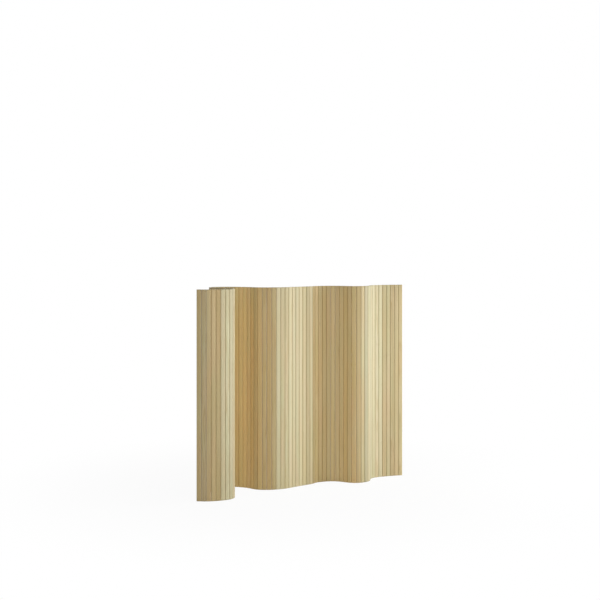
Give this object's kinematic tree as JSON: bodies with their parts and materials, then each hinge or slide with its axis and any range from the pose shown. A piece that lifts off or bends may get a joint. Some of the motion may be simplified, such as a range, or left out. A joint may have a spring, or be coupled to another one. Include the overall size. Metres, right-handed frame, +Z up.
{
  "type": "flexible slat screen",
  "caption": "Free-standing room screen of upright wooden slats threaded edge to edge on steel cables, standing in a free wave and rolling up.",
  "frame": {"origin": "on the floor, under the middle of the outline that the standing wave makes", "axes": "+Z up, +X along the line from the wave's left end to its right end as the front is seen, +Y towards the back"},
  "size_m": [1.7888, 0.4322, 1.5],
  "materials": {
    "lacquered_pine": "pale pine with upright grain, under a thin satin clear lacquer",
    "cable_steel": "bright stranded steel",
    "stop_steel": "plain crimped steel"
  },
  "bodies": {
    "slats_01_02": {"slats_01_02": "lacquered_pine", "left_end_stops": "stop_steel"},
    "slat_03": {"slat_03": "lacquered_pine"},
    "slats_04_05": {"slats_04_05": "lacquered_pine"},
    "slat_06": {"slat_06": "lacquered_pine"},
    "slat_07": {"slat_07": "lacquered_pine"},
    "slat_08": {"slat_08": "lacquered_pine"},
    "slat_09": {"slat_09": "lacquered_pine"},
    "slat_10": {"slat_10": "lacquered_pine"},
    "slat_11": {"slat_11": "lacquered_pine"},
    "slat_12": {"slat_12": "lacquered_pine"},
    "slats_13_14": {"slats_13_14": "lacquered_pine"},
    "slats_15_16": {"slats_15_16": "lacquered_pine"},
    "slat_17": {"slat_17": "lacquered_pine"},
    "slat_18": {"slat_18": "lacquered_pine"},
    "slat_19": {"slat_19": "lacquered_pine"},
    "slat_20": {"slat_20": "lacquered_pine"},
    "slat_21": {"slat_21": "lacquered_pine"},
    "slat_22": {"slat_22": "lacquered_pine"},
    "slat_23": {"slat_23": "lacquered_pine"},
    "slat_24": {"slat_24": "lacquered_pine"},
    "slat_25": {"slat_25": "lacquered_pine"},
    "slats_26_27": {"slats_26_27": "lacquered_pine"},
    "slats_28_29": {"slats_28_29": "lacquered_pine"},
    "slats_30_31": {"slats_30_31": "lacquered_pine"},
    "slat_32": {"slat_32": "lacquered_pine"},
    "slat_33": {"slat_33": "lacquered_pine"},
    "slats_34_35": {"slats_34_35": "lacquered_pine"},
    "slats_36_37": {"slats_36_37": "lacquered_pine", "lower_cable": "cable_steel", "middle_cable": "cable_steel", "upper_cable": "cable_steel"},
    "slat_38": {"slat_38": "lacquered_pine"},
    "slats_39_40": {"slats_39_40": "lacquered_pine"},
    "slats_41_42": {"slats_41_42": "lacquered_pine"},
    "slats_43_44": {"slats_43_44": "lacquered_pine"},
    "slat_45": {"slat_45": "lacquered_pine"},
    "slat_46": {"slat_46": "lacquered_pine"},
    "slat_47": {"slat_47": "lacquered_pine"},
    "slat_48": {"slat_48": "lacquered_pine"},
    "slats_49_50": {"slats_49_50": "lacquered_pine"},
    "slat_51": {"slat_51": "lacquered_pine"},
    "slat_52": {"slat_52": "lacquered_pine"},
    "slat_53": {"slat_53": "lacquered_pine"},
    "slats_54_55": {"slats_54_55": "lacquered_pine"},
    "slat_56": {"slat_56": "lacquered_pine"},
    "slat_57": {"slat_57": "lacquered_pine"},
    "slat_58": {"slat_58": "lacquered_pine"},
    "slats_59_60": {"slats_59_60": "lacquered_pine"},
    "slat_61": {"slat_61": "lacquered_pine"},
    "slats_62_63": {"slats_62_63": "lacquered_pine"},
    "slat_64": {"slat_64": "lacquered_pine"},
    "slat_65": {"slat_65": "lacquered_pine"},
    "slats_66_67": {"slats_66_67": "lacquered_pine"},
    "slats_68_69": {"slats_68_69": "lacquered_pine"},
    "slats_70_71": {"slats_70_71": "lacquered_pine"},
    "slat_72": {"slat_72": "lacquered_pine", "right_end_stops": "stop_steel"}
  },
  "joints": [
    {"name": "hinge_02_03", "type": "hinge", "parent": "slat_03", "child": "slats_01_02", "pos_m": [-0.83818, -0.17749, 0.75], "axis": [0, 0, 1], "range_deg": [-5, 25]},
    {"name": "hinge_03_04", "type": "hinge", "parent": "slats_04_05", "child": "slat_03", "pos_m": [-0.80678, -0.19195, 0.75], "axis": [0, 0, 1], "range_deg": [-5, 25]},
    {"name": "hinge_05_06", "type": "hinge", "parent": "slat_06", "child": "slats_04_05", "pos_m": [-0.73928, -0.20674, 0.75], "axis": [0, 0, 1], "range_deg": [-5, 19]},
    {"name": "hinge_06_07", "type": "hinge", "parent": "slat_07", "child": "slat_06", "pos_m": [-0.70492, -0.21059, 0.75], "axis": [0, 0, 1], "range_deg": [-5, 26]},
    {"name": "hinge_07_08", "type": "hinge", "parent": "slat_08", "child": "slat_07", "pos_m": [-0.67046, -0.2078, 0.75], "axis": [0, 0, 1], "range_deg": [-5, 32]},
    {"name": "hinge_08_09", "type": "hinge", "parent": "slat_09", "child": "slat_08", "pos_m": [-0.6383, -0.19512, 0.75], "axis": [0, 0, 1], "range_deg": [-5, 36]},
    {"name": "hinge_09_10", "type": "hinge", "parent": "slat_10", "child": "slat_09", "pos_m": [-0.6127, -0.17188, 0.75], "axis": [0, 0, 1], "range_deg": [-5, 37]},
    {"name": "hinge_10_11", "type": "hinge", "parent": "slat_11", "child": "slat_10", "pos_m": [-0.59771, -0.14072, 0.75], "axis": [0, 0, 1], "range_deg": [-5, 36]},
    {"name": "hinge_11_12", "type": "hinge", "parent": "slat_12", "child": "slat_11", "pos_m": [-0.59471, -0.10628, 0.75], "axis": [0, 0, 1], "range_deg": [-5, 32]},
    {"name": "hinge_12_13", "type": "hinge", "parent": "slats_13_14", "child": "slat_12", "pos_m": [-0.60184, -0.07245, 0.75], "axis": [0, 0, 1], "range_deg": [-5, 26]},
    {"name": "hinge_14_15", "type": "hinge", "parent": "slats_15_16", "child": "slats_13_14", "pos_m": [-0.63089, -0.00975, 0.75], "axis": [0, 0, -1], "range_deg": [-5, 17]},
    {"name": "hinge_16_17", "type": "hinge", "parent": "slat_17", "child": "slats_15_16", "pos_m": [-0.65629, 0.05446, 0.75], "axis": [0, 0, -1], "range_deg": [-5, 25]},
    {"name": "hinge_17_18", "type": "hinge", "parent": "slat_18", "child": "slat_17", "pos_m": [-0.66143, 0.08865, 0.75], "axis": [0, 0, -1], "range_deg": [-5, 28]},
    {"name": "hinge_18_19", "type": "hinge", "parent": "slat_19", "child": "slat_18", "pos_m": [-0.65862, 0.1231, 0.75], "axis": [0, 0, -1], "range_deg": [-5, 31]},
    {"name": "hinge_19_20", "type": "hinge", "parent": "slat_20", "child": "slat_19", "pos_m": [-0.64651, 0.15549, 0.75], "axis": [0, 0, -1], "range_deg": [-5, 33]},
    {"name": "hinge_20_21", "type": "hinge", "parent": "slat_21", "child": "slat_20", "pos_m": [-0.62516, 0.18268, 0.75], "axis": [0, 0, -1], "range_deg": [-5, 34]},
    {"name": "hinge_21_22", "type": "hinge", "parent": "slat_22", "child": "slat_21", "pos_m": [-0.59625, 0.20164, 0.75], "axis": [0, 0, -1], "range_deg": [-5, 34]},
    {"name": "hinge_22_23", "type": "hinge", "parent": "slat_23", "child": "slat_22", "pos_m": [-0.5628, 0.21041, 0.75], "axis": [0, 0, -1], "range_deg": [-5, 33]},
    {"name": "hinge_23_24", "type": "hinge", "parent": "slat_24", "child": "slat_23", "pos_m": [-0.52828, 0.20862, 0.75], "axis": [0, 0, -1], "range_deg": [-5, 31]},
    {"name": "hinge_24_25", "type": "hinge", "parent": "slat_25", "child": "slat_24", "pos_m": [-0.49555, 0.19748, 0.75], "axis": [0, 0, -1], "range_deg": [-5, 28]},
    {"name": "hinge_25_26", "type": "hinge", "parent": "slats_26_27", "child": "slat_25", "pos_m": [-0.46623, 0.17916, 0.75], "axis": [0, 0, -1], "range_deg": [-5, 25]},
    {"name": "hinge_27_28", "type": "hinge", "parent": "slats_28_29", "child": "slats_26_27", "pos_m": [-0.41745, 0.13029, 0.75], "axis": [0, 0, -1], "range_deg": [-5, 17]},
    {"name": "hinge_29_30", "type": "hinge", "parent": "slats_30_31", "child": "slats_28_29", "pos_m": [-0.37612, 0.07498, 0.75], "axis": [0, 0, -1], "range_deg": [-5, 27]},
    {"name": "hinge_31_32", "type": "hinge", "parent": "slat_32", "child": "slats_30_31", "pos_m": [-0.3539, 0.0096, 0.75], "axis": [0, 0, 1], "range_deg": [-5, 26]},
    {"name": "hinge_32_33", "type": "hinge", "parent": "slat_33", "child": "slat_32", "pos_m": [-0.3386, -0.0214, 0.75], "axis": [0, 0, 1], "range_deg": [-5, 36]},
    {"name": "hinge_33_34", "type": "hinge", "parent": "slats_34_35", "child": "slat_33", "pos_m": [-0.3132, -0.04486, 0.75], "axis": [0, 0, 1], "range_deg": [-5, 26]},
    {"name": "hinge_35_36", "type": "hinge", "parent": "slats_36_37", "child": "slats_34_35", "pos_m": [-0.25301, -0.07872, 0.75], "axis": [0, 0, 1], "range_deg": [-5, 26], "deforming": ["lower_cable", "middle_cable", "upper_cable"]},
    {"name": "hinge_37_38", "type": "hinge", "parent": "slats_36_37", "child": "slat_38", "pos_m": [-0.18549, -0.0932, 0.75], "axis": [0, 0, -1], "range_deg": [-5, 20]},
    {"name": "hinge_38_39", "type": "hinge", "parent": "slat_38", "child": "slats_39_40", "pos_m": [-0.151, -0.0956, 0.75], "axis": [0, 0, -1], "range_deg": [-5, 26]},
    {"name": "hinge_40_41", "type": "hinge", "parent": "slats_39_40", "child": "slats_41_42", "pos_m": [-0.0828, -0.08463, 0.75], "axis": [0, 0, 1], "range_deg": [-5, 15]},
    {"name": "hinge_42_43", "type": "hinge", "parent": "slats_41_42", "child": "slats_43_44", "pos_m": [-0.01485, -0.07183, 0.75], "axis": [0, 0, 1], "range_deg": [-5, 17]},
    {"name": "hinge_44_45", "type": "hinge", "parent": "slats_43_44", "child": "slat_45", "pos_m": [0.05364, -0.06236, 0.75], "axis": [0, 0, 1], "range_deg": [-5, 15]},
    {"name": "hinge_45_46", "type": "hinge", "parent": "slat_45", "child": "slat_46", "pos_m": [0.08797, -0.05828, 0.75], "axis": [0, 0, -1], "range_deg": [-5, 26]},
    {"name": "hinge_46_47", "type": "hinge", "parent": "slat_46", "child": "slat_47", "pos_m": [0.12099, -0.04802, 0.75], "axis": [0, 0, -1], "range_deg": [-5, 26]},
    {"name": "hinge_47_48", "type": "hinge", "parent": "slat_47", "child": "slat_48", "pos_m": [0.15158, -0.03191, 0.75], "axis": [0, 0, 1], "range_deg": [-5, 31]},
    {"name": "hinge_48_49", "type": "hinge", "parent": "slat_48", "child": "slats_49_50", "pos_m": [0.18542, -0.02486, 0.75], "axis": [0, 0, 1], "range_deg": [-5, 31]},
    {"name": "hinge_50_51", "type": "hinge", "parent": "slats_49_50", "child": "slat_51", "pos_m": [0.25413, -0.03229, 0.75], "axis": [0, 0, 1], "range_deg": [-5, 26]},
    {"name": "hinge_51_52", "type": "hinge", "parent": "slat_51", "child": "slat_52", "pos_m": [0.28687, -0.04339, 0.75], "axis": [0, 0, 1], "range_deg": [-5, 30]},
    {"name": "hinge_52_53", "type": "hinge", "parent": "slat_52", "child": "slat_53", "pos_m": [0.31579, -0.06234, 0.75], "axis": [0, 0, 1], "range_deg": [-5, 30]},
    {"name": "hinge_53_54", "type": "hinge", "parent": "slat_53", "child": "slats_54_55", "pos_m": [0.33905, -0.08792, 0.75], "axis": [0, 0, 1], "range_deg": [-5, 26]},
    {"name": "hinge_55_56", "type": "hinge", "parent": "slats_54_55", "child": "slat_56", "pos_m": [0.3733, -0.14794, 0.75], "axis": [0, 0, -1], "range_deg": [-5, 22]},
    {"name": "hinge_56_57", "type": "hinge", "parent": "slat_56", "child": "slat_57", "pos_m": [0.39291, -0.17642, 0.75], "axis": [0, 0, -1], "range_deg": [-5, 33]},
    {"name": "hinge_57_58", "type": "hinge", "parent": "slat_57", "child": "slat_58", "pos_m": [0.42026, -0.19756, 0.75], "axis": [0, 0, -1], "range_deg": [-5, 37]},
    {"name": "hinge_58_59", "type": "hinge", "parent": "slat_58", "child": "slats_59_60", "pos_m": [0.45353, -0.20695, 0.75], "axis": [0, 0, -1], "range_deg": [-5, 33]},
    {"name": "hinge_60_61", "type": "hinge", "parent": "slats_59_60", "child": "slat_61", "pos_m": [0.52226, -0.20048, 0.75], "axis": [0, 0, -1], "range_deg": [-5, 38]},
    {"name": "hinge_61_62", "type": "hinge", "parent": "slat_61", "child": "slats_62_63", "pos_m": [0.55165, -0.18228, 0.75], "axis": [0, 0, -1], "range_deg": [-5, 38]},
    {"name": "hinge_63_64", "type": "hinge", "parent": "slats_62_63", "child": "slat_64", "pos_m": [0.59426, -0.12793, 0.75], "axis": [0, 0, 1], "range_deg": [-5, 30]},
    {"name": "hinge_64_65", "type": "hinge", "parent": "slat_64", "child": "slat_65", "pos_m": [0.62291, -0.10858, 0.75], "axis": [0, 0, 1], "range_deg": [-5, 34]},
    {"name": "hinge_65_66", "type": "hinge", "parent": "slat_65", "child": "slats_66_67", "pos_m": [0.65622, -0.09934, 0.75], "axis": [0, 0, 1], "range_deg": [-5, 30]},
    {"name": "hinge_67_68", "type": "hinge", "parent": "slats_66_67", "child": "slats_68_69", "pos_m": [0.72522, -0.10219, 0.75], "axis": [0, 0, 1], "range_deg": [-5, 16]},
    {"name": "hinge_69_70", "type": "hinge", "parent": "slats_68_69", "child": "slats_70_71", "pos_m": [0.79377, -0.11114, 0.75], "axis": [0, 0, 1], "range_deg": [-5, 18]},
    {"name": "hinge_71_72", "type": "hinge", "parent": "slats_70_71", "child": "slat_72", "pos_m": [0.86113, -0.12672, 0.75], "axis": [0, 0, 1], "range_deg": [-5, 16]}
  ]
}
